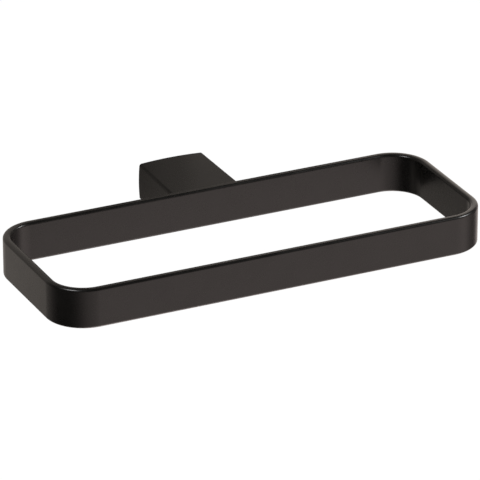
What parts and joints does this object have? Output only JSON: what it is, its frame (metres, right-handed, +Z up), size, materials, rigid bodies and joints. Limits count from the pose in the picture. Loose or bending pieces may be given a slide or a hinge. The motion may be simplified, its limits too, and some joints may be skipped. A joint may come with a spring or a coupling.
{
  "type": "towel holder",
  "caption": "Black wall-mounted towel holder: a closed rectangular loop of flat bar with rounded corners on a short hollow post that slides over a wall bracket.",
  "frame": {"origin": "middle of the post's end on the wall, which is also the middle of the bracket's two wall holes", "axes": "+X along the wall, +Y into the wall, +Z up; the loop lies level, on the side of negative Y"},
  "size_m": [0.2224, 0.1231, 0.02],
  "materials": {
    "black_paint_bar": "satin",
    "black_paint_casting": "satin",
    "cast_zinc": "matte",
    "black_steel": "satin",
    "plated_steel": "satin"
  },
  "bodies": {
    "root": {"towel_loop": "black_paint_bar", "wall_post": "black_paint_casting", "wall_bracket": "cast_zinc", "set_screw": "black_steel", "loop_screws": "plated_steel", "spring_washers": "plated_steel"}
  },
  "joints": []
}
